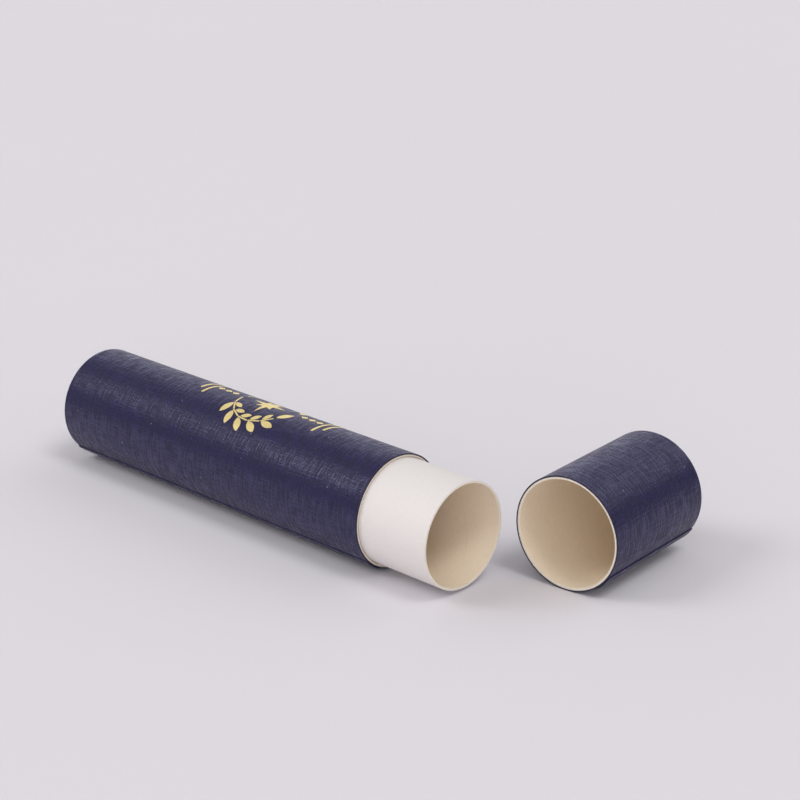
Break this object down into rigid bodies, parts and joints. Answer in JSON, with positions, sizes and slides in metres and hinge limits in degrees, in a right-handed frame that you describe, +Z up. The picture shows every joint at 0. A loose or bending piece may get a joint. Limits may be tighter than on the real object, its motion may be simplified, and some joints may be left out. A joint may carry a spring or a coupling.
{
  "type": "paper tube box",
  "caption": "Open round paper tube box lying on its side, dark blue linen covering, white inner neck standing out of the base, cap off beside it.",
  "frame": {"origin": "middle of the whole footprint, on the surface that the open box lies on", "axes": "+X along the base tube from its closed end to its mouth, +Z up; the cap lies on the +Y side of the mouth"},
  "size_m": [0.2262, 0.0976, 0.04],
  "materials": {
    "linen_paper": "matt, linen-embossed",
    "white_paper": "smooth, matt",
    "wound_board": "raw board",
    "gold_foil": "stamped foil"
  },
  "bodies": {
    "root": {"base_tube": "wound_board", "base_wrap": "linen_paper", "base_disc": "wound_board", "base_end_paper": "linen_paper", "neck_tube": "wound_board", "neck_paper": "white_paper", "gold_ornament": "gold_foil", "cap_tube": "wound_board", "cap_wrap": "linen_paper", "cap_disc": "wound_board", "cap_end_paper": "linen_paper"}
  },
  "joints": []
}
